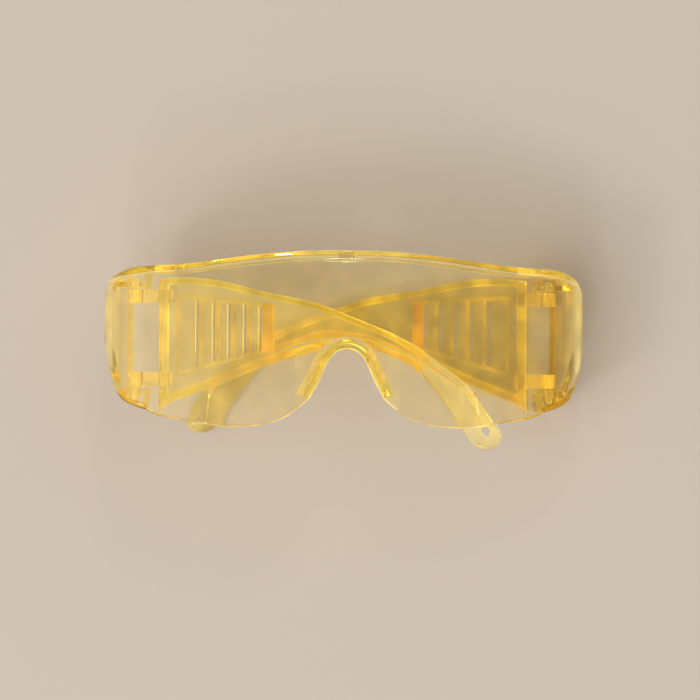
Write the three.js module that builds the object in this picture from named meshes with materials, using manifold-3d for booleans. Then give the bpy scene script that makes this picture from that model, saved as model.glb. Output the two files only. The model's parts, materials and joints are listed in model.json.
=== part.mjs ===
// Safety glasses: one-piece wraparound lens/visor, two wide temples with louvred vent windows,
// four hinge pins. Millimetres, +Z up. The glasses lie lens-up on their folded temples.
import * as THREE from 'three';
import { mergeVertices } from 'three/addons/utils/BufferGeometryUtils.js';
import Module from 'manifold-3d';

// ---------------------------------------------------------------- driving dimensions
const LEAN = 7;              // deg, the lens leans to the wearer's left because the temples stack
const WALL = 2.2;            // lens shell thickness
const FRONT_R = 300;         // radius of the nearly flat front
const FRONT_X = 66;          // half width of the front arc
const CORNER_R = 16.4;       // corner between front and side panel
const CURL_R = 26;           // side panel, outside
const CURL_RI = 26.5;        // side panel, inside (wall thins to the rear edge)
const REAR_D = 40.9;         // depth of the rear edge behind the front apex
const SHELF_MID = 10;        // depth of the brow shelf at the centre
const SHELF_END = 22;        // depth of the brow shelf beside the brackets
const HINGE_BOX_D = 25;      // the ribs and cross walls of the hinge boxes start at this depth
const SHELF_X = 61.8;        // the shelf stops here and the hinge boxes begin
const PIVOT_X = 68.8;        // hinge axis, half spacing
const PIVOT_D = 36;          // hinge axis, depth behind the front apex
const REST_RIGHT = -12;      // deg, wearer's right temple folded inside, nearest the lens
const REST_LEFT = 7;         // deg, wearer's left temple folded last, lies outside
const PLATE_N0 = 2.3;        // temple: inner face of the rims, measured outward from the hinge axis
const PLATE_N1 = 5.3;        // temple: smooth outer face
const PLATE_T = 1.4;         // temple: plate thickness between rims
const FRONT_S = 7.6;         // temple: front rib begins this far from the hinge axis
const LUG_R = 2.8;           // hinge lug barrel
const PIN_R = 1.45;          // hinge pin
const BORE_R = 1.75;         // bores for the pin
const DROOP = 0.0172;        // hinge play: the inner temple sits low, the outer one high, per mm
const VENT_S = [19.5, 25.1, 30.3, 35.6, 40.8];   // vent gaps, start
const LANYARD_R = 1.55;      // lanyard hole
const TIP_N = 1.3;           // the ear tip is thickened inwards to here
const VENT_W = 1.4;          // vent gap width

// ---------------------------------------------------------------- solids
const wasm = await Module();
wasm.setup();
const solid = (geo) => {
  const g = geo.clone(); g.deleteAttribute('normal'); g.deleteAttribute('uv');
  const m = mergeVertices(g, 1e-4);
  return new wasm.Manifold(new wasm.Mesh({ numProp: 3, vertProperties: new Float32Array(m.attributes.position.array), triVerts: new Uint32Array(m.index.array) }));
};
const shapeOf = (pts) => new THREE.Shape(pts.map(([a, b]) => new THREE.Vector2(a, b)));
// (x, y) outline, solid between z0 and z1
const alongZ = (pts, z0, z1) => solid(new THREE.ExtrudeGeometry(shapeOf(pts), { depth: z1 - z0, bevelEnabled: false, curveSegments: 24 }).translate(0, 0, z0));
// (x, z) outline, solid between y0 and y1
const alongY = (pts, y0, y1) => solid(new THREE.ExtrudeGeometry(shapeOf(pts), { depth: y1 - y0, bevelEnabled: false, curveSegments: 24 }).rotateX(Math.PI / 2).translate(0, y1, 0));
const box = (x0, x1, y0, y1, z0, z1) => solid(new THREE.BoxGeometry(x1 - x0, y1 - y0, z1 - z0).translate((x0 + x1) / 2, (y0 + y1) / 2, (z0 + z1) / 2));
const rodY = (r, x, z, y0, y1, seg = 28) => solid(new THREE.CylinderGeometry(r, r, y1 - y0, seg).translate(x, (y0 + y1) / 2, z));
const union = (list) => list.reduce((a, b) => a.add(b));
const lerp = (tab, x) => {
  if (x <= tab[0][0]) return tab[0][1];
  for (let i = 1; i < tab.length; i++) if (x <= tab[i][0]) { const [a, b] = tab[i - 1], [c, d] = tab[i]; return b + (d - b) * (x - a) / (c - a); }
  return tab[tab.length - 1][1];
};
const smooth = (pts, n, closed = false) => new THREE.CatmullRomCurve3(pts.map(([a, b]) => new THREE.Vector3(a, b, 0)), closed, 'centripetal').getSpacedPoints(n).map((p) => [p.x, p.y]);
// inward offset of a counter-clockwise outline
const inset = (pts, d) => pts.map((p, i) => {
  const a = pts[(i + pts.length - 1) % pts.length], b = pts[(i + 1) % pts.length];
  const t = new THREE.Vector2(b[0] - a[0], b[1] - a[1]).normalize();
  return [p[0] - t.y * d, p[1] + t.x * d];
});

// ---------------------------------------------------------------- lens / visor
// plan section, (x, z) with z = -depth
const section = (ri, front, cornerR, curlR, curlC, rear) => {
  const th = Math.asin(FRONT_X / FRONT_R), out = [];
  const cx = FRONT_X - CORNER_R * Math.sin(th), cd = FRONT_R * (1 - Math.cos(th)) + CORNER_R * Math.cos(th);
  const fx = cx + cornerR * Math.sin(th);
  for (let i = 0; i <= 14; i++) { const a = th * i / 14; out.push([ri * Math.sin(a), -(FRONT_R - ri * Math.cos(a))]); }
  for (let i = 1; i <= 9; i++) { const a = th + (Math.PI / 2 - th) * i / 9; out.push([cx + cornerR * Math.sin(a), -(cd - cornerR * Math.cos(a))]); }
  const ex = cx + cornerR - curlR;
  const end = Math.asin(Math.min(1, (rear - cd) / curlR));
  for (let i = 1; i <= 7; i++) { const a = end * i / 7; out.push([ex + curlR * Math.cos(a), -(cd + curlR * Math.sin(a))]); }
  return [...out.slice(1).map(([x, z]) => [-x, z]).reverse(), ...out];
};
const outerSection = section(FRONT_R, 0, CORNER_R, CURL_R, 0, REAR_D);
const innerSection = section(FRONT_R - WALL, 0, CORNER_R - WALL, CURL_RI, 0, REAR_D + 4);
const fullOuter = alongY(outerSection.slice().reverse(), -45, 45);
const fullInner = alongY(innerSection.slice().reverse(), -60, 60);

// front outline, right half: top edge, side, bottom edge, nose notch
const TOP = [[0, 32.3], [15, 32.0], [30, 30.7], [40, 29.4], [50, 28.0], [60, 27.2], [65, 26.9], [70, 26.2], [74, 24.7], [77, 22.6], [78.7, 19.3]];
const SIDE = [[79.3, 14], [79.3, 8], [78.9, 3], [77.6, -5], [76.2, -10.5], [74.6, -14.2], [72, -17.2]];
const BOTTOM = [[68.5, -18.8], [64.5, -20.1], [62, -21.4], [58, -22.4], [52, -23.3], [45, -24.5], [38, -25.2], [30, -24.8], [25, -23.9], [20, -22.0], [16, -19.2], [13.2, -16.9]];
const NOSE = [[11.3, -14.5], [9.9, -12.0], [8.6, -9.5], [7.2, -6.0], [5.2, -2.4], [3.0, -0.5], [0, 0.3]];
const halfRight = [...TOP, ...SIDE, ...BOTTOM, ...NOSE];
// counter-clockwise: left half from the nose up the left side, then the right half back down
const outlineCW = [...halfRight.slice(1, -1).map(([x, y]) => [-x, y]).reverse(), ...halfRight.slice(0)];
const outline = smooth(outlineCW.slice().reverse(), 150, true).slice(0, 150);
const outlinePrism = alongZ(outline, -46, 2);
const filled = fullOuter.intersect(outlinePrism);

// the hollow behind the shell: closed at the brow and beside the hinges, open along the bottom
const FLOOR_X = 64.5;
const hollowTop = [...TOP.map(([x, y]) => [x, y - WALL]).filter(([x]) => x <= 70), [73.2, 22.9], [75.6, 20.9], [76.9, 18.5]];
const hollowSide = [[77.4, 14], [77.4, 8], [76.9, 3], [75.6, -4.5], [74.2, -9.8], [72.6, -13], [70.6, -15.2], [68.0, -16.6], [FLOOR_X, -17.8]];
const hollowHalf = [...hollowTop, ...hollowSide, [FLOOR_X - 0.02, -45], [0, -45]];
const hollowOutline = [...hollowHalf.slice(1, -1).map(([x, y]) => [-x, y]).reverse(), ...hollowHalf].slice().reverse();
const hollow = fullInner.intersect(alongZ(hollowOutline, -60, 5));

// brow shelf is cut back between the hinge boxes
const shelf = [];
for (let i = 0; i <= 20; i++) { const x = -SHELF_X + 2 * SHELF_X * i / 20; shelf.push([x, -(SHELF_MID + (SHELF_END - SHELF_MID) * (x / SHELF_X) ** 2)]); }
const shelfCut = alongY([[-SHELF_X, -60], [SHELF_X, -60], ...shelf.slice().reverse()], 18, 60);

// hinge boxes: a rib and a cross wall with the pin bore, top and bottom, both sides
const brackets = (sx) => {
  const X = (a, b) => sx > 0 ? [a, b] : [-b, -a];
  const [r0, r1] = X(63.4, 65.6), [w0, w1] = X(63.4, 75.5);
  return union([
    box(r0, r1, 20.2, 40, -39.2, -HINGE_BOX_D), box(r0, r1, 18.7, 20.4, -30.5, -HINGE_BOX_D),
    box(w0, w1, 20.2, 22.0, -39.2, -HINGE_BOX_D),
    box(r0, r1, -40, -13.0, -39.2, -HINGE_BOX_D),
    box(w0, w1, -14.8, -13.0, -39.2, -HINGE_BOX_D),
  ]).intersect(filled);
};
const pinBores = (sx) => rodY(BORE_R, sx * PIVOT_X, -PIVOT_D, 19, 23.9).add(rodY(BORE_R, sx * PIVOT_X, -PIVOT_D, -16.3, -12));

// nose flange: runs back and outward from the nose notch, ends square
const NOSE_EDGE = [[12.0, -15.6], [11.3, -14.5], [9.9, -12.0], [8.6, -9.5], [7.2, -6.0], [5.2, -2.4], [3.0, -0.5], [0, 0.3]];
const FLANGE_EDGE = [[16.2, -14.2], [15.3, -12.3], [13.8, -9.3], [12.4, -6.2], [10.7, -2.7], [8.6, 0.4], [5.2, 3.2], [0, 4.5]];
const flange = (() => {
  const a = [...NOSE_EDGE, ...NOSE_EDGE.slice(0, -1).reverse().map(([x, y]) => [-x, y])];
  const b = [...FLANGE_EDGE, ...FLANGE_EDGE.slice(0, -1).reverse().map(([x, y]) => [-x, y])];
  const A = smooth(a, 40), B = smooth(b, 40), pos = [], idx = [];
  const T = 1.8, D0 = 0.9, D1 = 9.5;
  for (let i = 0; i <= 40; i++) {
    const p = A[Math.max(0, i - 1)], q = A[Math.min(40, i + 1)];
    const t = new THREE.Vector2(q[0] - p[0], q[1] - p[1]).normalize();
    const nx = t.y, ny = -t.x;                 // away from the notch
    const c = [[A[i][0], A[i][1], -D0], [A[i][0] + nx * T, A[i][1] + ny * T, -D0], [B[i][0], B[i][1], -D1], [B[i][0] - nx * T, B[i][1] - ny * T, -D1]];
    c.forEach((v) => pos.push(...v));
  }
  for (let i = 0; i < 40; i++) for (let k = 0; k < 4; k++) {
    const a0 = i * 4 + k, a1 = i * 4 + (k + 1) % 4, b0 = a0 + 4, b1 = a1 + 4;
    idx.push(a0, b0, a1, a1, b0, b1);
  }
  idx.push(0, 1, 2, 0, 2, 3); const e = 160; idx.push(e, e + 2, e + 1, e, e + 3, e + 2);
  const g = new THREE.BufferGeometry();
  g.setAttribute('position', new THREE.Float32BufferAttribute(pos, 3)); g.setIndex(idx);
  let m = solid(g);
  if (m.volume() < 0) { g.setIndex(idx.slice().reverse()); m = solid(g); }
  return m;
})();

const lensSolid = (() => {
  let m = filled.subtract(hollow).subtract(shelfCut);
  m = m.add(brackets(1)).add(brackets(-1)).subtract(pinBores(1)).subtract(pinBores(-1));
  m = m.add(flange);
  m = m.add(box(-1.4, 1.8, 0.9, 3.9, -6.2, -1.2));            // gate block at the top of the nose notch
  m = m.add(box(-2.6, 2.2, 28.6, 31.2, -6.4, -1.2));          // gate block under the brow
  return m;
})();

// ---------------------------------------------------------------- temples, local (s, y, -n)
const T_TOP = [[7.6, 23.8], [12, 24.3], [17.4, 24.4], [24.7, 23.8], [32.5, 22.4], [42.5, 19.9], [53.7, 17.4], [61.9, 15.5], [67.9, 13.2], [78.9, 8.9], [84.5, 6.7], [89.9, 4.0], [95.5, 0.9], [99.3, -2.1], [106.4, -7.3], [111.9, -12.3], [117.3, -19.6], [120.8, -24.2], [122.2, -27.0]];
const T_BOT = [[7.6, -18.6], [17.4, -15.2], [28.6, -11.0], [39.8, -6.2], [48.1, -3.3], [53.7, -1.8], [61.9, 0.4], [69.6, 1.35], [77.9, 1.0], [87.2, -2.0], [91.5, -4.2], [95.5, -7.4], [101, -13.9], [106.4, -21.5], [110.3, -26.6], [112.6, -29.9], [116.0, -31.7], [119.6, -31.3], [121.8, -29.4]];
const templeSolid = (side) => {           // side -1: wearer's right (inner), +1: wearer's left (outer)
  const k = side * DROOP;
  const Y = (s, y) => y - 0.57 + 0.0172 * s + k * s;
  const tab = (t) => t.map(([s, y]) => [s, Y(s, y)]);
  const top = smooth(tab(T_TOP), 46), bot = smooth(tab(T_BOT), 40);
  const ring = [...bot, ...top.slice().reverse()];                          // counter-clockwise
  const plateZ = -(PLATE_N1 - PLATE_T);
  let m = alongZ(ring, -PLATE_N1, -PLATE_N0);
  // pocket between the rims, inner face
  const tt = tab(T_TOP), tb = tab(T_BOT);
  const pk = [];
  for (let s = 10.4; s <= 78; s += 3.2) pk.push([s, lerp(tb, s) + 2.8]);
  const low = [[84, 1.0], [90, -1.0], [95.4, -4.2], [100.5, -9.6], [105, -15.6]].map(([s, y]) => [s, Y(s, y)]);
  const high = [[109, -11.8], [104.5, -8.4], [99, -4.4], [94, -0.9], [88, 2.8]].map(([s, y]) => [s, Y(s, y)]);
  pk.push(...low, ...high);
  for (let s = 82; s >= 10.4; s -= 3.2) pk.push([s, lerp(tt, s) - 1.9]);
  pk.push([10.4, lerp(tt, 10.4) - 1.9]);
  m = m.subtract(alongZ(pk, plateZ, -PLATE_N0 + 2));
  // vent window: frame, louvre walls, gaps
  const wt = (s) => Y(s, 17.7 - (s - 14.4) * 0.104), wb = (s) => Y(s, -6.9 + (s - 14.4) * 0.258);
  const bar = (s0, s1, a, b, z0, z1) => alongZ([[s0, wb(s0) - a], [s1, wb(s1) - a], [s1, wt(s1) + b], [s0, wt(s0) + b]], z0, z1);
  const frame = bar(13.2, 45.8, 1.2, 1.2, plateZ - 0.3, -2.6).subtract(bar(14.4, 44.6, 0, 0, plateZ - 1, 0));
  m = m.add(frame);
  for (const s of VENT_S) m = m.add(bar(s + VENT_W, s + VENT_W + 1.3, 0.3, 0.3, plateZ - 0.3, -2.6));
  m = m.add(bar(42.2, 45.8, 1.2, 1.2, plateZ - 0.3, -2.45));
  for (const s of VENT_S) m = m.subtract(bar(s, s + VENT_W, -0.4, -0.4, -7, 0));
  // thickened ear tip, then the lanyard hole
  m = m.add(solid(new THREE.CylinderGeometry(4.0, 4.2, PLATE_N1 - 1 - TIP_N, 32).rotateX(Math.PI / 2).translate(116.7, Y(116.7, -26.0), -(PLATE_N1 - 1 + TIP_N) / 2)));
  m = m.subtract(solid(new THREE.CylinderGeometry(LANYARD_R, LANYARD_R, 14, 28).rotateX(Math.PI / 2).translate(117.1, Y(117.1, -25.7), -3.8)));
  // hinge lugs: round barrel, flat bar, block under the plate
  for (const [y0, y1] of [[15.0, 19.7], [-12.4, -7.7]]) {
    m = m.add(union([rodY(LUG_R, 0, 0, y0, y1, 32), box(0, 8.4, y0, y1, 0, LUG_R), box(8, 11.8, y0, y1, -3.0, LUG_R)]));
    m = m.subtract(rodY(BORE_R, 0, 0, y0 - 1, y1 + 1));
  }
  return side < 0 ? m : m.mirror([1, 0, 0]);
};
const D2R = Math.PI / 180;
const place = (m, side) => {
  const b = (side < 0 ? REST_RIGHT : -REST_LEFT);
  return m.rotate([0, b, 0]).translate([side * PIVOT_X, 0, -PIVOT_D]);
};
const pin = (side, upper) => {
  const [y0, y1] = upper ? [15.5, 22.9] : [-15.6, -8.2];
  const yc = upper ? y1 : y0;
  const body = rodY(PIN_R, side * PIVOT_X, -PIVOT_D, y0, y1, 24);
  const g = new THREE.CylinderGeometry(upper ? PIN_R - 0.35 : PIN_R, upper ? PIN_R : PIN_R - 0.35, 0.4, 24).translate(side * PIVOT_X, yc + (upper ? 0.2 : -0.2), -PIVOT_D);
  return body.add(solid(g));
};

// ---------------------------------------------------------------- assembly
const parts = {
  lens_visor: lensSolid,
  temple_right: place(templeSolid(-1), -1),
  temple_left: place(templeSolid(1), 1),
  hinge_pin_right_upper: pin(-1, true),
  hinge_pin_right_lower: pin(-1, false),
  hinge_pin_left_upper: pin(1, true),
  hinge_pin_left_lower: pin(1, false),
};
const geos = {};
const bounds = new THREE.Box3();
for (const [name, m] of Object.entries(parts)) {
  const mesh = m.rotate([0, LEAN, 0]).getMesh();
  const g = new THREE.BufferGeometry();
  const P = new Float32Array(mesh.numVert * 3);
  for (let i = 0; i < mesh.numVert; i++) for (let k = 0; k < 3; k++) P[3 * i + k] = mesh.vertProperties[i * mesh.numProp + k];
  g.setAttribute('position', new THREE.BufferAttribute(P, 3));
  g.setIndex(new THREE.BufferAttribute(new Uint32Array(mesh.triVerts), 1));
  g.computeBoundingBox(); bounds.union(g.boundingBox);
  geos[name] = g;
}
const c = bounds.getCenter(new THREE.Vector3());
export const shift = [-c.x, -c.y, -bounds.min.z];
const COLOUR = { lens: 0xe3b04a, temple: 0xdfa83c, pin: 0xe8b650 };
const group = new THREE.Group();
group.name = 'safety_glasses';
for (const [name, g] of Object.entries(geos)) {
  g.translate(...shift);
  const flat = g.toNonIndexed(); flat.computeVertexNormals();
  const key = name.startsWith('lens') ? 'lens' : name.startsWith('temple') ? 'temple' : 'pin';
  const mesh = new THREE.Mesh(g, new THREE.MeshStandardMaterial({ color: COLOUR[key], roughness: 0.2, metalness: 0, transparent: true, opacity: 0.6 }));
  g.computeVertexNormals();
  mesh.name = name;
  group.add(mesh);
}
export default group;
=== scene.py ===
import bpy, bmesh, json, math
import numpy as np
from mathutils import Vector, Matrix


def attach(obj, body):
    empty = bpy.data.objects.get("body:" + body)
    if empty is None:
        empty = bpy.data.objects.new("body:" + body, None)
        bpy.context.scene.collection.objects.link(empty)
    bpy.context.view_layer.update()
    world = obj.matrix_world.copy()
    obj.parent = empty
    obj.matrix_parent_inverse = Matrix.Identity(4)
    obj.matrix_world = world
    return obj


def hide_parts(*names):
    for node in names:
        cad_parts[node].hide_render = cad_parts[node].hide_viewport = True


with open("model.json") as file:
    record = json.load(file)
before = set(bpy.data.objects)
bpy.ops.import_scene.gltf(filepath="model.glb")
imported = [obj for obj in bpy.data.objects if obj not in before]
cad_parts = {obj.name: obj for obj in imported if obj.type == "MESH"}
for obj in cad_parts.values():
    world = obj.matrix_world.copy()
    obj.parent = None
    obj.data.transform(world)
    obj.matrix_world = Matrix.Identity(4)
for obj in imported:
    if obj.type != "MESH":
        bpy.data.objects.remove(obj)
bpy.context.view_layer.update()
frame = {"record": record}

REC = frame["record"]

# ------------------------------------------------------------------ frame of the lens inside the row frame
LEAN = math.radians(7)
PX, PD = 68.8, 36.0
JOINT = {j["name"]: j for j in REC["behaviour"]["joints"]}
_l = [v * 1000 for v in JOINT["left_temple_hinge"]["pos_m"]]
SX = _l[0] - (PX * math.cos(LEAN) - PD * math.sin(LEAN))
SZ = _l[2] - (-PX * math.sin(LEAN) - PD * math.cos(LEAN))
SY = -0.0166
CL, SL = math.cos(LEAN), math.sin(LEAN)


def row(x, y, z):
    """Lens frame in mm (z = minus depth) to row frame in metres."""
    return ((x * CL + z * SL + SX) / 1000, (y + SY) / 1000, (-x * SL + z * CL + SZ) / 1000)


def deg(a):
    return math.radians(a)


# ------------------------------------------------------------------ small geometry kit (all in mm, lens or temple frame)
def lerp(tab, x):
    return float(np.interp(x, [t[0] for t in tab], [t[1] for t in tab]))


def catmull(pts, n):
    """n+1 points evenly spaced along a centripetal Catmull-Rom curve through pts."""
    P = np.array(pts, float)
    P = np.vstack([2 * P[0] - P[1], P, 2 * P[-1] - P[-2]])
    out = []
    for i in range(1, len(P) - 2):
        p0, p1, p2, p3 = P[i - 1], P[i], P[i + 1], P[i + 2]
        t0 = 0.0
        t1 = t0 + np.linalg.norm(p1 - p0) ** 0.5
        t2 = t1 + np.linalg.norm(p2 - p1) ** 0.5
        t3 = t2 + np.linalg.norm(p3 - p2) ** 0.5
        for t in np.linspace(t1, t2, 24, endpoint=False):
            a1 = (t1 - t) / (t1 - t0) * p0 + (t - t0) / (t1 - t0) * p1
            a2 = (t2 - t) / (t2 - t1) * p1 + (t - t1) / (t2 - t1) * p2
            a3 = (t3 - t) / (t3 - t2) * p2 + (t - t2) / (t3 - t2) * p3
            b1 = (t2 - t) / (t2 - t0) * a1 + (t - t0) / (t2 - t0) * a2
            b2 = (t3 - t) / (t3 - t1) * a2 + (t - t1) / (t3 - t1) * a3
            out.append((t2 - t) / (t2 - t1) * b1 + (t - t1) / (t2 - t1) * b2)
    out.append(P[-2])
    out = np.array(out)
    s = np.concatenate([[0], np.cumsum(np.linalg.norm(np.diff(out, axis=0), axis=1))])
    q = np.linspace(0, s[-1], n + 1)
    return np.stack([np.interp(q, s, out[:, k]) for k in range(out.shape[1])], 1)


def inset(poly, d):
    """Counter-clockwise outline moved inwards by d."""
    P = np.array(poly, float)
    a, b = np.roll(P, 1, 0), np.roll(P, -1, 0)
    e1 = P - a
    e2 = b - P
    e1 /= np.maximum(np.linalg.norm(e1, axis=1, keepdims=True), 1e-9)
    e2 /= np.maximum(np.linalg.norm(e2, axis=1, keepdims=True), 1e-9)
    n1 = np.stack([-e1[:, 1], e1[:, 0]], 1)
    n2 = np.stack([-e2[:, 1], e2[:, 0]], 1)
    m = n1 + n2
    m /= np.maximum(np.linalg.norm(m, axis=1, keepdims=True), 1e-9)
    c = np.clip((m * n1).sum(1, keepdims=True), 0.6, 1)
    return P + m * d / c


def mesh_obj(name, verts, faces):
    me = bpy.data.meshes.new(name)
    bm = bmesh.new()
    vs = [bm.verts.new(v) for v in verts]
    for f in faces:
        try:
            bm.faces.new([vs[i] for i in f])
        except ValueError:
            pass
    bmesh.ops.remove_doubles(bm, verts=bm.verts, dist=1e-4)
    bmesh.ops.triangulate(bm, faces=[f for f in bm.faces if len(f.verts) > 4])
    bmesh.ops.recalc_face_normals(bm, faces=bm.faces)
    if bm.calc_volume(signed=True) < 0:
        bmesh.ops.reverse_faces(bm, faces=bm.faces)
    bm.to_mesh(me)
    bm.free()
    ob = bpy.data.objects.new(name, me)
    bpy.context.scene.collection.objects.link(ob)
    return ob


def loft(name, rings):
    """Closed body through equal-length rings, capped at both ends."""
    n = len(rings[0])
    verts = [tuple(p) for r in rings for p in r]
    faces = []
    for i in range(len(rings) - 1):
        for k in range(n):
            a, b = i * n + k, i * n + (k + 1) % n
            faces.append((a, b, b + n, a + n))
    faces.append(tuple(range(n))[::-1])
    e = (len(rings) - 1) * n
    faces.append(tuple(e + k for k in range(n)))
    return mesh_obj(name, verts, faces)


def slab(name, poly, z0, z1, r0=0.0, r1=0.0, seg=3):
    """Outline extruded along z, with its edges rounded by r0 at z0 and r1 at z1."""
    rings = []
    if r0 > 0:
        for i in range(seg + 1):
            a = math.pi / 2 * i / seg
            rings.append((r0 - r0 * math.sin(a), z0 + r0 - r0 * math.cos(a)))
    else:
        rings.append((0, z0))
    if r1 > 0:
        for i in range(seg + 1):
            a = math.pi / 2 * i / seg
            rings.append((r1 - r1 * math.cos(a), z1 - r1 + r1 * math.sin(a)))
    else:
        rings.append((0, z1))
    return loft(name, [[(p[0], p[1], z) for p in inset(poly, d)] for d, z in rings])


def slab_y(name, poly_xz, y0, y1, r=0.25):
    """(x, z) outline extruded along y with softened edges."""
    P = [(p[0], -p[1]) for p in poly_xz]
    area = sum(P[i - 1][0] * P[i][1] - P[i][0] * P[i - 1][1] for i in range(len(P)))
    if area < 0:
        P = P[::-1]
    ob = slab(name, P, y0, y1, r, r, 2)
    for v in ob.data.vertices:
        x, a, y = v.co
        v.co = (x, y, -a)
    fix(ob)
    return ob


def fix(ob):
    bm = bmesh.new()
    bm.from_mesh(ob.data)
    bmesh.ops.recalc_face_normals(bm, faces=bm.faces)
    if bm.calc_volume(signed=True) < 0:
        bmesh.ops.reverse_faces(bm, faces=bm.faces)
    bm.to_mesh(ob.data)
    bm.free()


def rect(x0, x1, y0, y1, r=0.0, seg=3):
    if r <= 0:
        return [(x0, y0), (x1, y0), (x1, y1), (x0, y1)]
    out = []
    for cx, cy, a0 in ((x1 - r, y0 + r, -90), (x1 - r, y1 - r, 0), (x0 + r, y1 - r, 90), (x0 + r, y0 + r, 180)):
        for i in range(seg + 1):
            a = deg(a0 + 90 * i / seg)
            out.append((cx + r * math.cos(a), cy + r * math.sin(a)))
    return out


def disc(cx, cy, r, n=40):
    return [(cx + r * math.cos(2 * math.pi * i / n), cy + r * math.sin(2 * math.pi * i / n)) for i in range(n)]


def boolean(a, b, op):
    m = a.modifiers.new("b", "BOOLEAN")
    m.operation = op
    m.solver = "MANIFOLD"
    m.object = b
    dg = bpy.context.evaluated_depsgraph_get()
    me = bpy.data.meshes.new_from_object(a.evaluated_get(dg))
    a.modifiers.clear()
    old = a.data
    a.data = me
    bpy.data.meshes.remove(old)
    bpy.data.objects.remove(b, do_unlink=True)
    return a


def join(a, *bs):
    for b in bs:
        boolean(a, b, "UNION")
    return a


def cut(a, *bs):
    for b in bs:
        boolean(a, b, "DIFFERENCE")
    return a


def place(ob, fn):
    for v in ob.data.vertices:
        v.co = fn(*v.co)
    fix(ob)


def finish_mesh(ob, angle=32):
    bm = bmesh.new()
    bm.from_mesh(ob.data)
    bmesh.ops.remove_doubles(bm, verts=bm.verts, dist=2e-6)
    bmesh.ops.dissolve_degenerate(bm, edges=bm.edges, dist=2e-6)
    bmesh.ops.recalc_face_normals(bm, faces=bm.faces)
    if bm.calc_volume(signed=True) < 0:
        bmesh.ops.reverse_faces(bm, faces=bm.faces)
    for f in bm.faces:
        f.smooth = True
    for e in bm.edges:
        e.smooth = not (len(e.link_faces) == 2 and e.calc_face_angle(0) > math.radians(angle))
    bm.to_mesh(ob.data)
    bm.free()


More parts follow.
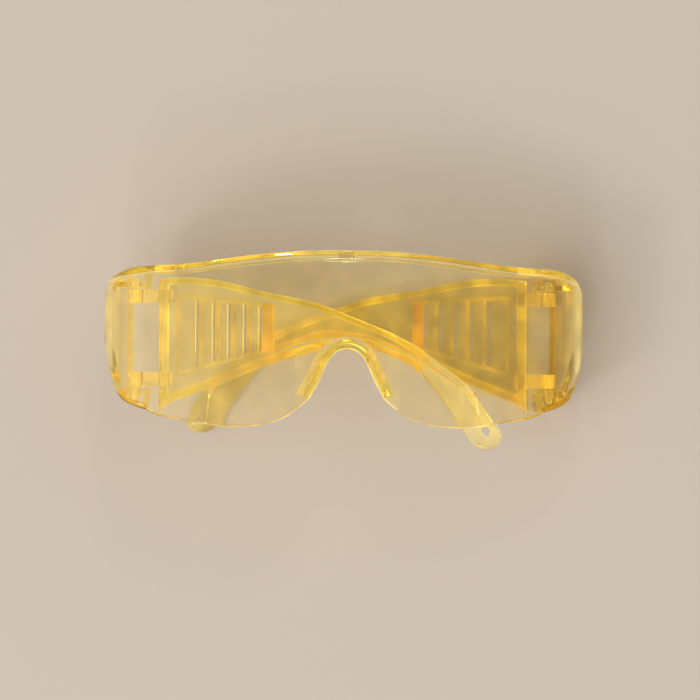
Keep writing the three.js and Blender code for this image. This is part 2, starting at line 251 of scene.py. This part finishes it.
# ------------------------------------------------------------------ materials
def tinted(name, absorb, rough=0.008, wave=0.02, seed=0.0, base=(1.0, 1.0, 1.0), painted_glow_strength=0.035, regions=False):
    """Clear tinted plastic with a faint painted emission glow standing in for light gathered inside the plastic.
    absorb: per metre, red, green, blue.
    """
    density = max(absorb)
    tint = [1 - a / density for a in absorb]
    m = bpy.data.materials.new(name)
    m.use_nodes = True
    nt = m.node_tree
    N, L = nt.nodes, nt.links
    N.clear()
    out = N.new("ShaderNodeOutputMaterial")
    p = N.new("ShaderNodeBsdfPrincipled")
    p.inputs["Base Color"].default_value = (*base, 1)
    p.inputs["Transmission Weight"].default_value = 1.0
    p.inputs["IOR"].default_value = 1.49
    # painted glow: a faint orange emission on the surface standing in for light caught in the plastic; the part is no
    # lamp
    p.inputs["Emission Color"].default_value = (1.0, 0.60, 0.05, 1)
    p.inputs["Emission Strength"].default_value = painted_glow_strength
    p.inputs["Roughness"].default_value = rough
    if regions:
        at = N.new("ShaderNodeAttribute")
        at.attribute_name = "tint"
        L.new(at.outputs["Color"], p.inputs["Base Color"])
        # emission colour per face from the paint() attribute: painted glow and painted highlight, not a lamp
        ag = N.new("ShaderNodeAttribute")
        ag.attribute_name = "painted_glow_and_highlight"
        # the painted glow is made uneven along an edge
        un = N.new("ShaderNodeTexNoise")
        un.inputs["Scale"].default_value = 140
        un.inputs["Detail"].default_value = 3
        ur = N.new("ShaderNodeMapRange")
        ur.inputs["From Min"].default_value = 0.38
        ur.inputs["From Max"].default_value = 0.66
        ur.inputs["To Min"].default_value = 0.35
        ur.inputs["To Max"].default_value = 1.7
        L.new(un.outputs["Fac"], ur.inputs["Value"])
        gl = N.new("ShaderNodeVectorMath")
        gl.operation = "SCALE"
        L.new(ag.outputs["Color"], gl.inputs[0])
        L.new(ur.outputs["Result"], gl.inputs["Scale"])
        L.new(gl.outputs["Vector"], p.inputs["Emission Color"])
        p.inputs["Emission Strength"].default_value = 1.0
    # polish marks: fine wiping scratches and a slow moulding ripple, in object space
    tc = N.new("ShaderNodeTexCoord")
    if regions:
        L.new(tc.outputs["Object"], un.inputs["Vector"])
    mp = N.new("ShaderNodeMapping")
    mp.inputs["Location"].default_value = (seed, seed * 0.7, 0)
    L.new(tc.outputs["Object"], mp.inputs["Vector"])
    haze = N.new("ShaderNodeTexNoise")
    haze.inputs["Scale"].default_value = 55
    haze.inputs["Detail"].default_value = 5
    L.new(mp.outputs["Vector"], haze.inputs["Vector"])
    hr = N.new("ShaderNodeMapRange")
    hr.inputs["From Min"].default_value = 0.35
    hr.inputs["From Max"].default_value = 0.75
    hr.inputs["To Min"].default_value = rough * 0.5
    hr.inputs["To Max"].default_value = rough * 2.2
    L.new(haze.outputs["Fac"], hr.inputs["Value"])
    L.new(hr.outputs["Result"], p.inputs["Roughness"])
    st = N.new("ShaderNodeMapping")
    st.inputs["Rotation"].default_value = (0, 0, 0.5)
    st.inputs["Scale"].default_value = (60, 2600, 2600)
    L.new(tc.outputs["Object"], st.inputs["Vector"])
    sc = N.new("ShaderNodeTexNoise")
    sc.inputs["Scale"].default_value = 1.0
    sc.inputs["Detail"].default_value = 3
    L.new(st.outputs["Vector"], sc.inputs["Vector"])
    sr = N.new("ShaderNodeMapRange")
    sr.inputs["From Min"].default_value = 0.68
    sr.inputs["From Max"].default_value = 0.80
    L.new(sc.outputs["Fac"], sr.inputs["Value"])
    slow = N.new("ShaderNodeTexNoise")
    slow.inputs["Scale"].default_value = 70
    slow.inputs["Detail"].default_value = 1
    L.new(mp.outputs["Vector"], slow.inputs["Vector"])
    add = N.new("ShaderNodeMath")
    add.operation = "MULTIPLY_ADD"
    L.new(sr.outputs["Result"], add.inputs[0])
    add.inputs[1].default_value = 0.25
    L.new(slow.outputs["Fac"], add.inputs[2])
    bump = N.new("ShaderNodeBump")
    bump.inputs["Strength"].default_value = wave
    bump.inputs["Distance"].default_value = 0.0008
    L.new(add.outputs["Value"], bump.inputs["Height"])
    L.new(bump.outputs["Normal"], p.inputs["Normal"])
    va = N.new("ShaderNodeVolumeAbsorption")
    va.inputs["Color"].default_value = (*tint, 1)
    va.inputs["Density"].default_value = density
    L.new(p.outputs["BSDF"], out.inputs["Surface"])
    L.new(va.outputs["Volume"], out.inputs["Volume"])
    return m


M_LENS = tinted("amber_lens", (0.2, 8.0, 105.0), regions=True)
M_TEMPLE = tinted("amber_temple", (0.2, 12.0, 150.0), rough=0.008, wave=0.03, seed=3.1, regions=True)
# the pins keep the faint default painted emission glow
M_PIN = tinted("amber_pin", (0.3, 22.0, 260.0), rough=0.02, seed=5.3)


def paint(ob, fn):
    """Per-face surface tint, and a painted emission glow and painted highlight standing in for light gathered along
    the edges; fn(centre, normal) gives both.
    """
    tint = ob.data.attributes.new("tint", "FLOAT_COLOR", "CORNER")
    painted_glow_and_highlight = ob.data.attributes.new("painted_glow_and_highlight", "FLOAT_COLOR", "CORNER")
    for f in ob.data.polygons:
        a, b = fn(f.center, f.normal)
        for li in f.loop_indices:
            tint.data[li].color = (*a, 1)
            painted_glow_and_highlight.data[li].color = (*b, 1)



# ------------------------------------------------------------------ lens
WALL = 2.2
FR, FX, CR, KR, KRI, REAR = 300.0, 66.0, 16.4, 26.0, 26.5, 40.9
TH = math.asin(FX / FR)
CX = FX - CR * math.sin(TH)
CD = FR * (1 - math.cos(TH)) + CR * math.cos(TH)
TOP = [(0, 32.3), (15, 32.0), (30, 30.7), (40, 29.4), (50, 28.0), (60, 27.2), (65, 26.9), (70, 26.2), (74, 24.7), (77, 22.6), (78.7, 19.3), (79.3, 14)]
BOT = [(0, 0.3), (3.0, -0.5), (5.2, -2.4), (7.2, -6.0), (8.6, -9.5), (9.9, -12.0), (11.3, -14.5), (13.2, -16.9), (16, -19.2), (20, -22.0), (25, -23.9), (30, -24.8), (38, -25.2), (45, -24.5), (52, -23.3), (58, -22.4), (62, -21.4), (64.5, -20.1), (68.5, -18.8), (72, -17.2), (74.6, -14.2), (76.2, -10.5), (77.6, -5), (78.9, 3), (79.3, 8)]
_top = catmull([(-15, 32.0)] + TOP, 400)
_top = _top[_top[:, 0] >= -0.01]
_bot = catmull([(-3, -0.5)] + BOT, 500)
_bot = _bot[_bot[:, 0] >= -0.01]
T = lambda x: float(np.interp(abs(x), _top[:, 0], _top[:, 1]))
B = lambda x: float(np.interp(abs(x), _bot[:, 0], _bot[:, 1]))
SHELF_X = 61.8
shelf = lambda x: 10 + 12 * (abs(x) / SHELF_X) ** 2


def stations():
    """Right half of the section: outer point, inner point, shelf end, floor end, and a flag for whether there is a
    floor.
    """
    xs = list(np.arange(0, 16.01, 0.5)) + list(np.arange(17.2, 60.5, 1.2)) + [61.1, 61.8, 62.6, 63.4, 64.3, 64.5, 64.7, 65.3, 66.0]
    st = []
    for x in xs:
        a = math.asin(x / FR)
        nx, nd = math.sin(a), math.cos(a)
        st.append([x, FR - FR * nd, nx, nd, 0])
    for i in range(1, 15):
        a = TH + (math.pi / 2 - TH) * i / 14
        st.append([CX + CR * math.sin(a), CD - CR * math.cos(a), math.sin(a), math.cos(a), 1])
    ex, exi = CX + CR - KR, CX + CR - WALL - KRI
    end = math.asin((REAR - CD) / KR)
    endi = math.asin((REAR - CD) / KRI)
    out = []
    for x, d, nx, nd, z in st:
        out.append([(x, d), (x - nx * WALL, d + nd * WALL)])
    for i in range(1, 13):
        a, b = end * i / 12, endi * i / 12
        out.append([(ex + KR * math.cos(a), CD + KR * math.sin(a)), (exi + KRI * math.cos(b), CD + KRI * math.sin(b))])
    # arc length for the spines
    s = [0.0]
    for i in range(1, len(out)):
        s.append(s[-1] + math.dist(out[i][0], out[i - 1][0]))
    i0 = next(i for i, o in enumerate(out) if o[0][0] >= SHELF_X - 1e-6)
    i1 = next(i for i, o in enumerate(out) if o[0][0] >= 64.5 - 1e-6)
    res = []
    for i, (o, n) in enumerate(out):
        x = o[0]
        if i <= i0:
            E = (x, shelf(x))
            if E[1] < n[1] + 1:
                E = (x, n[1] + 1)
        else:
            w = (s[i] - s[i0]) / (s[-1] - s[i0])
            E = (SHELF_X, 22 + (REAR - 22) * w)
        if i <= i1:
            F = (n[0] - (n[0] - o[0]) * -0.01, n[1] + 0.02)
        else:
            w = (s[i] - s[i1]) / (s[-1] - s[i1])
            F = (64.5, 11.0 + (REAR - 11.0) * w)
        res.append((o, n, E, F, i > i1))
    return res


def section_ring(o, n, E, F, floor):
    """Closed cross-section of the shell at one station, as (x, y, z)."""
    x0 = o[0]
    nrm = Vector((o[0] - n[0], o[1] - n[1])).normalized()
    rt = 4.5 - 2.0 * min(1, max(0, (x0 - 40) / 30))
    rb = 1.6 if floor else 0.95
    top0, bot0 = T(x0), B(x0)
    if floor:
        rb = 1.6
    ring = []

    def at(p, y):
        ring.append((p[0], y, -p[1]))

    def ray(p, q, w):
        return (p[0] + (q[0] - p[0]) * w, p[1] + (q[1] - p[1]) * w)

    LE, LF = math.dist(o, E), max(math.dist(o, F), WALL)
    F0 = F if floor else n
    # bottom fillet, from the wall round to the underside
    for i in range(4):
        a = math.pi / 2 * i / 3
        w = (rb - rb * math.cos(a)) / LF
        p = ray(o, F0, w)
        at(p, B(p[0]) + rb - rb * math.sin(a))
    for w in (0.4, 0.7, 1.0):
        w = max(w, rb / LF + 0.02)
        p = ray(o, F0, w)
        if not floor and w == 1.0:
            at(p, B(p[0]))
        else:
            at(p, B(p[0]))
    tb = 2.2 if floor else 0.05
    p = F0
    at(p, B(p[0]) + tb)
    for w in (0.66, 0.33, 0.0):
        p = ray(n, F0, w)
        at(p, B(p[0]) + tb + (0.0 if floor else 0.05 * (1 - w)))
    # inner face upwards
    ri = max(0.9, rt - 1.9)
    yb, yt = B(n[0]) + tb + (0.6 if floor else 0.4), T(n[0]) - WALL - ri
    for w in (0.0, 0.2, 0.4, 0.6, 0.8, 1.0):
        at(n, yb + (yt - yb) * w)
    # underside of the brow shelf, with a small inner fillet
    LI = math.dist(n, E)
    for a in (15, 30, 45, 60, 75, 90):
        w = ri * (1 - math.cos(deg(a))) / LI
        p = ray(n, E, w)
        at(p, T(p[0]) - WALL - ri + ri * math.sin(deg(a)))
    for w in (0.5, 0.65, 0.8):
        p = ray(n, E, w)
        at(p, T(p[0]) - WALL)
    p = ray(n, E, 1)
    at(p, T(p[0]) - WALL + 0.0)
    at(p, T(p[0]) - 0.35)
    p = ray(o, E, 1 - 0.35 / LE)
    at(p, T(p[0]))
    for w in (0.85, 0.7, 0.55):
        w = max(w, rt / LE + 0.04)
        p = ray(o, E, w)
        at(p, T(p[0]))
    for i in range(8):
        a = math.pi / 2 * (1 - i / 7)
        p = ray(o, E, (rt - rt * math.cos(a)) / LE)
        at(p, T(p[0]) - rt + rt * math.sin(a))
    ya, yz = top0 - rt, bot0 + rb
    for w in (0.15, 0.3, 0.45, 0.6, 0.75, 0.9):
        at(o, ya + (yz - ya) * w)
    return ring


def build_lens():
    right = [section_ring(*s) for s in stations()]
    left = [[(-x, y, z) for x, y, z in r] for r in right[1:]][::-1]
    shell = loft("lens_shell", left + right)
    ex = CX + CR - KR
    for sx in (1, -1):
        def X(a):
            return sx * a
        # hinge boxes: rib, cross wall
        mid = [(X(ex + (KR - 1.0) * math.cos(a)), -(CD + (KR - 1.0) * math.sin(a))) for a in np.linspace(deg(4), math.asin((39.2 - CD) / (KR - 1.0)), 9)]
        wall = [(X(63.6), -39.2), (X(63.6), -25)] + mid
        wall_in = [(X(63.6), -39.2), (X(63.6), -25)] + [(X(min(abs(p[0]), 73.9)), p[1]) for p in mid]
        top_rib = slab_y("rib_u", [(X(63.4), -39.2), (X(65.6), -39.2), (X(65.6), -25.0), (X(63.4), -25.0)], 20.2, 25.8, 0.25)
        top_toe = slab_y("toe_u", [(X(63.45), -30.5), (X(65.55), -30.5), (X(65.55), -25.2), (X(63.45), -25.2)], 18.7, 21.2, 0.3)
        wall_u = slab_y("wall_u", wall, 20.2, 22.0, 0.2)
        rib_l = slab_y("rib_l", [(X(63.4), -39.2), (X(65.6), -39.2), (X(65.6), -25.0), (X(63.4), -25.0)], -18.9, -13.0, 0.25)
        wall_l = slab_y("wall_l", wall_in, -14.8, -13.0, 0.2)
        join(shell, top_rib, top_toe, wall_u, rib_l, wall_l)
        bore_u = slab_y("bore_u", disc(X(PX), -PD, 1.75), 19, 23.9, 0)
        bore_l = slab_y("bore_l", disc(X(PX), -PD, 1.75), -16.3, -12, 0)
        cut(shell, bore_u, bore_l)
    # nose flange
    ne = [(12.0, -15.6), (11.3, -14.5), (9.9, -12.0), (8.6, -9.5), (7.2, -6.0), (5.2, -2.4), (3.0, -0.5), (0, 0.3)]
    fe = [(16.2, -14.2), (15.3, -12.3), (13.8, -9.3), (12.4, -6.2), (10.7, -2.7), (8.6, 0.4), (5.2, 3.2), (0, 4.5)]
    A = catmull(ne + [(-x, y) for x, y in ne[:-1][::-1]], 72)
    Bc = catmull(fe + [(-x, y) for x, y in fe[:-1][::-1]], 72)
    rings = []
    TF, D0, D1 = 1.8, 0.9, 9.5
    for i in range(73):
        t = A[min(72, i + 1)] - A[max(0, i - 1)]
        t /= np.linalg.norm(t)
        nx, ny = t[1], -t[0]
        a0, a1 = (A[i][0], A[i][1], -D0), (A[i][0] + nx * TF, A[i][1] + ny * TF, -D0)
        b1, b0 = (Bc[i][0], Bc[i][1], -D1), (Bc[i][0] - nx * TF, Bc[i][1] - ny * TF, -D1)
        L = lambda p, q, w: tuple(p[k] + (q[k] - p[k]) * w for k in range(3))
        ring = [a0, a1, L(a1, b1, 0.33), L(a1, b1, 0.66), L(a1, b1, 0.92)]
        e1, e0 = L(b1, b0, 0.28), L(b1, b0, 0.72)
        ring += [(e1[0], e1[1], -D1 - 0.25), (e0[0], e0[1], -D1 - 0.25), L(a0, b0, 0.92), L(a0, b0, 0.66), L(a0, b0, 0.33)]
        rings.append(ring)
    join(shell, loft("flange", rings))
    gate = slab("gate", rect(-1.4, 1.8, 0.9, 3.9, 0.5), -6.2, -1.2, 0.4, 0)
    gate2 = slab("gate2", rect(-2.6, 2.2, 28.6, 31.0, 0.7), -6.4, -1.2, 0.5, 0)
    join(shell, gate, gate2)
    # per-face tint, with painted emission: glow on the end walls, brow underside, top corners, bracket walls, nose and
    # outer sides standing in for light gathered in the plastic
    def face(c, nn):
        depth, ax = -c.z, abs(c.x)
        if ax > 62.5 and depth > 39.5 and nn.z < -0.5:
            return (1.0, 0.76, 0.12), (0.05, 0.028, 0.0)
        if ax < 61.7 and depth > shelf(ax) - 1.0 and nn.z < -0.5 and c.y > 20:
            return (1.0, 0.88, 0.35), (0.22, 0.15, 0.02)
        if ax > 56 and c.y > 18 and nn.y > 0.25:
            return (1.0, 0.95, 0.80), (0.15, 0.11, 0.022)
        if abs(nn.y) > 0.6 and 63.3 < ax < 74.5 and 24 < depth < 39.5 and c.y < 23:
            return (1.0, 0.86, 0.25), (0.12, 0.07, 0.0)
        if ax < 17 and 2.5 < depth < 10.5 and c.y < 6:
            return (1.0, 0.95, 0.75), (0.06, 0.045, 0.01)
        # painted highlight: bright pale emission and a paler tint along the lower lens edge
        if c.y < 5 and nn.y < -0.3 and depth < 6:
            return (1.0, 0.94, 0.70), (0.34, 0.27, 0.12)
        if ax > 76.5 and nn.x * c.x > 0:
            return (1.0, 0.95, 0.80), (0.10, 0.075, 0.012)
        # faint painted glow over the rest of the lens, lifting it where it sits in shade
        return (1.0, 0.96, 0.875), (0.024, 0.0145, 0.0008)

    paint(shell, face)
    place(shell, row)
    finish_mesh(shell)
    shell.name = "lens_shell"
    return shell


# ------------------------------------------------------------------ temples
N0, N1, PT = 2.3, 5.3, 1.4
DROOP = 0.0172
VENT = [19.5, 25.1, 30.3, 35.6, 40.8]
VW = 1.4
T_TOP = [(7.6, 23.8), (12, 24.3), (17.4, 24.4), (24.7, 23.8), (32.5, 22.4), (42.5, 19.9), (53.7, 17.4), (61.9, 15.5), (67.9, 13.2), (78.9, 8.9), (84.5, 6.7), (89.9, 4.0), (95.5, 0.9), (99.3, -2.1), (106.4, -7.3), (111.9, -12.3), (117.3, -19.6), (120.8, -24.2), (122.2, -27.0)]
T_BOT = [(7.6, -18.6), (17.4, -15.2), (28.6, -11.0), (39.8, -6.2), (48.1, -3.3), (53.7, -1.8), (61.9, 0.4), (69.6, 1.35), (77.9, 1.0), (87.2, -2.0), (91.5, -4.2), (95.5, -7.4), (101, -13.9), (106.4, -21.5), (110.3, -26.6), (112.6, -29.9), (116.0, -31.7), (119.6, -31.3), (121.8, -29.4)]


def build_temple(side):
    k = side * DROOP
    Y = lambda s, y: y - 0.57 + 0.0172 * s + k * s
    tab = lambda t: [(s, Y(s, y)) for s, y in t]
    tt, tb = tab(T_TOP), tab(T_BOT)
    top, bot = catmull(tt, 110), catmull(tb, 100)
    ring = [tuple(p) for p in bot] + [tuple(p) for p in top[::-1]]
    pz = -(N1 - PT)
    body = slab("temple", ring, -N1, -N0, 0.7, 0.45)
    # pocket between the rims
    lo = [(s, lerp(tb, s) + 2.8) for s in np.arange(10.4, 79, 3.2)]
    lo += [(s, Y(s, y)) for s, y in ((84, 1.0), (90, -1.0), (95.4, -4.2), (100.5, -9.6), (105, -15.6))]
    hi = [(s, lerp(tt, s) - 1.9) for s in np.arange(10.4, 83, 3.2)]
    hi += [(s, Y(s, y)) for s, y in ((88, 2.8), (94, -0.9), (99, -4.4), (104.5, -8.4), (109, -11.8))]
    lo, hi = catmull(lo, 80), catmull(hi, 80)
    end = catmull([tuple(lo[-1]), (110.0, Y(110, -16.4)), tuple(hi[-1])], 8)[1:-1]
    pocket = [tuple(p) for p in lo] + [tuple(p) for p in end] + [tuple(p) for p in hi[::-1]]
    cut(body, slab("pocket", pocket, pz, 2, 0.5, 0))
    # vent window
    wt = lambda s: Y(s, 17.7 - (s - 14.4) * 0.104)
    wb = lambda s: Y(s, -6.9 + (s - 14.4) * 0.258)

    def bar(name, s0, s1, a, b, z0, z1, r=0.0):
        return slab(name, [(s0, wb(s0) - a), (s1, wb(s1) - a), (s1, wt(s1) + b), (s0, wt(s0) + b)], z0, z1, 0, r, 2)

    fr = bar("frame", 13.2, 45.8, 1.2, 1.2, pz - 0.6, -2.6, 0.25)
    cut(fr, bar("hole", 14.4, 44.6, 0, 0, pz - 1, 0))
    join(body, fr)
    for i, s in enumerate(VENT):
        # each slat: a wall beside the gap that leans into a flat
        w = slab("slat%d" % i, [(s + VW, wb(s) - 0.3), (s + VW + 1.35, wb(s + 2) - 0.3), (s + VW + 1.35, wt(s + 2) + 0.3), (s + VW, wt(s) + 0.3)], pz - 0.5, -2.6, 0, 0.25, 2)
        join(body, w)
    join(body, bar("end", 42.2, 45.75, 1.15, 1.15, pz - 0.5, -2.45, 0.4))
    for i, s in enumerate(VENT):
        cut(body, bar("gap%d" % i, s, s + VW, -0.4, -0.4, -7, 0))
    # thickened ear tip
    join(body, slab("tip", inset([q for q in ring if q[0] > 111.8], 1.1), -4.0, -1.3, 0, 1.3, 5))
    # lanyard hole
    hy = Y(117.1, -25.7)
    cut(body, slab("lanyard", disc(117.1, hy, 1.55), -8, 0))
    # hinge lugs
    for i, (y0, y1) in enumerate(((15.0, 19.7), (-12.4, -7.7))):
        barrel = [(2.8 * math.cos(a), 2.8 * math.sin(a)) for a in np.linspace(deg(90), deg(360), 40)] + [(8.6, 0.0), (8.6, 2.8)]
        lug = slab_y("lug%d" % i, [(p[0], p[1]) for p in barrel], y0, y1, 0.25)
        # block under the front of the plate
        blk = slab_y("blk%d" % i, [(8.0, 2.8), (8.0, -3.2), (11.8, -3.2), (11.8, 2.4), (11.4, 2.8)], y0, y1, 0.2)
        join(lug, blk)
        cut(lug, slab_y("bore%d" % i, disc(0, 0, 1.75), y0 - 1, y1 + 1, 0))
        join(body, lug)
    b = deg(-12) if side < 0 else deg(-7)

    def fn(s, y, z):
        X = s if side < 0 else -s
        x = X * math.cos(b) + z * math.sin(b) + side * PX
        zz = -X * math.sin(b) + z * math.cos(b) - PD
        return row(x, y, zz)

    body.data.materials.clear()
    body.data.materials.append(M_TEMPLE)

    # per-face tint, with painted emission: glow on the end bar, lugs, vent frame, ear tip and plate standing in for
    # light gathered in the plastic
    def face(c, nn):
        lug = c.x < 11.9 and (14.5 < c.y < 20 or -12.8 < c.y < -7.2)
        if 42.2 < c.x < 45.8 and wb(c.x) - 1.3 < c.y < wt(c.x) + 1.3 and c.z > pz + 0.05:
            return (1.0, 0.60, 0.003), (0.15, 0.072, 0.0)
        if lug:
            return (1.0, 0.90, 0.45), (0.09, 0.055, 0.002)
        if c.z > pz + 0.05 and 7.5 < c.x < 112:
            if 13.0 < c.x < 46 and wb(c.x) - 1.3 < c.y < wt(c.x) + 1.3:
                return (1.0, 0.86, 0.25), (0.12, 0.075, 0.001)
            low = c.y < 0.5 * (lerp(tt, c.x) + lerp(tb, c.x))
            side = abs(nn.z) < 0.8
            if c.x > 96:
                return (1.0, 0.96, 0.80), (0.045, 0.032, 0.005)
            # painted highlight lines along the rims: the rim walls glow brighter than the rim tops
            if low:
                return (1.0, 0.84, 0.03), ((0.20, 0.112, 0.0) if side else (0.105, 0.059, 0.0))
            return (1.0, 0.91, 0.11), ((0.32, 0.22, 0.03) if side else (0.15, 0.099, 0.001))
        if abs(nn.z) < 0.75 and c.x < 96:
            return (1.0, 0.91, 0.45), (0.08, 0.05, 0.002)
        if c.x > 108:
            return (1.0, 0.98, 0.90), (0.075, 0.058, 0.018)
        return (1.0, 0.955, 0.64), (0.034, 0.021, 0.001)

    paint(body, face)
    place(body, fn)
    finish_mesh(body)
    body.name = "temple_%s_shell" % ("right" if side < 0 else "left")
    return body


def build_pin(side, upper):
    y0, y1 = (15.5, 23.3) if upper else (-16.0, -8.2)
    n = 32
    prof = [(0.0, y0), (1.1, y0), (1.35, y0 + 0.12), (1.45, y0 + 0.4), (1.45, y1 - 0.5), (1.34, y1 - 0.2), (1.1, y1 - 0.05), (0.55, y1), (0.45, y1 - 0.25), (0.0, y1 - 0.3)]
    if not upper:
        prof = [(r, y0 + y1 - y) for r, y in prof][::-1]
    verts, faces = [], []
    for r, y in prof:
        if r == 0:
            verts.append((side * PX, y, -PD))
        else:
            verts += [(side * PX + r * math.cos(2 * math.pi * i / n), y, -PD + r * math.sin(2 * math.pi * i / n)) for i in range(n)]
    m = len(prof) - 2
    for j in range(m - 1):
        for i in range(n):
            a = 1 + j * n + i
            b = 1 + j * n + (i + 1) % n
            faces.append((a, b, b + n, a + n))
    for i in range(n):
        faces.append((0, 1 + (i + 1) % n, 1 + i))
        faces.append((1 + m * n, 1 + (m - 1) * n + i, 1 + (m - 1) * n + (i + 1) % n))
    ob = mesh_obj("pin", verts, faces)
    place(ob, row)
    finish_mesh(ob, 40)
    ob.name = "pin_%s_%s_shell" % ("right" if side < 0 else "left", "upper" if upper else "lower")
    return ob


# ------------------------------------------------------------------ build
lens = build_lens()
lens.data.materials.clear(); lens.data.materials.append(M_LENS)
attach(lens, "lens"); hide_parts("lens_visor")
for side, word in ((-1, "right"), (1, "left")):
    t = build_temple(side)
    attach(t, word + "_temple"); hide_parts("temple_" + word)
    for upper, u in ((True, "upper"), (False, "lower")):
        q = build_pin(side, upper)
        q.data.materials.clear(); q.data.materials.append(M_PIN)
        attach(q, word + "_temple"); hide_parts("hinge_pin_%s_%s" % (word, u))

# ------------------------------------------------------------------ floor
me = bpy.data.meshes.new("floor")
me.from_pydata([(-3, -3, 0), (3, -3, 0), (3, 3, 0), (-3, 3, 0)], [], [(0, 1, 2, 3)])
floor = bpy.data.objects.new("floor", me)
floor.location.z = -0.0002
bpy.context.scene.collection.objects.link(floor)
fm = bpy.data.materials.new("pale_floor")
fm.use_nodes = True
fb = fm.node_tree.nodes["Principled BSDF"]
fb.inputs["Base Color"].default_value = (0.70, 0.60, 0.51, 1)
fb.inputs["Roughness"].default_value = 0.9
fb.inputs["Specular IOR Level"].default_value = 0.1
floor.data.materials.append(fm)

# ------------------------------------------------------------------ light
w = bpy.data.worlds.new("studio")
bpy.context.scene.world = w
w.use_nodes = True
wn, wl = w.node_tree.nodes, w.node_tree.links
bg = wn["Background"]
bg.inputs["Color"].default_value = (1, 0.995, 0.985, 1)
wc = wn.new("ShaderNodeTexCoord")
level = None
# a wide soft sky and one large soft window high on the left
for direction, lo, hi, gain in (((-0.52, -0.42, 0.74), 0.66, 0.98, 1.45), ((0.5, 0.35, 0.8), 0.86, 0.99, 0.3)):
    d = Vector(direction).normalized()
    dot = wn.new("ShaderNodeVectorMath")
    dot.operation = "DOT_PRODUCT"
    wl.new(wc.outputs["Generated"], dot.inputs[0])
    dot.inputs[1].default_value = d
    mr = wn.new("ShaderNodeMapRange")
    mr.interpolation_type = "SMOOTHSTEP"
    mr.inputs["From Min"].default_value = lo
    mr.inputs["From Max"].default_value = hi
    mr.inputs["To Min"].default_value = 0.0
    mr.inputs["To Max"].default_value = gain
    wl.new(dot.outputs["Value"], mr.inputs["Value"])
    if level is None:
        level = mr
    else:
        ad = wn.new("ShaderNodeMath")
        wl.new(level.outputs[0], ad.inputs[0])
        wl.new(mr.outputs["Result"], ad.inputs[1])
        level = ad
base = wn.new("ShaderNodeMath")
wl.new(level.outputs[0], base.inputs[0])
base.inputs[1].default_value = 0.375
wl.new(base.outputs[0], bg.inputs["Strength"])


def area(name, loc, size, energy, target=(0, 0, 0.02), colour=(1, 1, 1)):
    l = bpy.data.lights.new(name, "AREA")
    l.shape = "DISK"
    l.size = size
    l.energy = energy
    l.color = colour
    o = bpy.data.objects.new(name, l)
    o.location = loc
    o.rotation_euler = (Vector(target) - Vector(loc)).to_track_quat("-Z", "Y").to_euler()
    bpy.context.scene.collection.objects.link(o)
    return o


area("key", (-0.65, -0.5, 0.75), 0.22, 1.3)
area("brow_light", (0.15, 0.95, 0.95), 0.16, 0.9)
area("cheek_light", (-0.15, -1.0, 0.9), 0.16, 0.9)

bpy.context.scene.cycles.max_bounces = 24
bpy.context.scene.cycles.transmission_bounces = 24

# ------------------------------------------------------------------ camera
cam = bpy.data.cameras.new("camera")
cam.sensor_width = 36
cam.lens = 36 * 1100 / 225.9
cam.clip_start = 0.05
camo = bpy.data.objects.new("camera", cam)
bpy.context.scene.collection.objects.link(camo)
tilt, roll = deg(7 - 2.6), deg(0.47)
back = Vector((math.sin(tilt), 0, math.cos(tilt)))
right0 = Vector((math.cos(tilt), 0, -math.sin(tilt)))
up0 = Vector((0, 1, 0))
right = right0 * math.cos(roll) + up0 * math.sin(roll)
up = up0 * math.cos(roll) - right0 * math.sin(roll)
target = Vector(row(0.9, 0.0, 0.0))
camo.matrix_world = Matrix.Translation(target + back * 1.1) @ Matrix((right, up, back)).transposed().to_4x4()
bpy.context.scene.camera = camo
bpy.context.scene.view_settings.view_transform = "Standard"

bpy.context.view_layer.update()
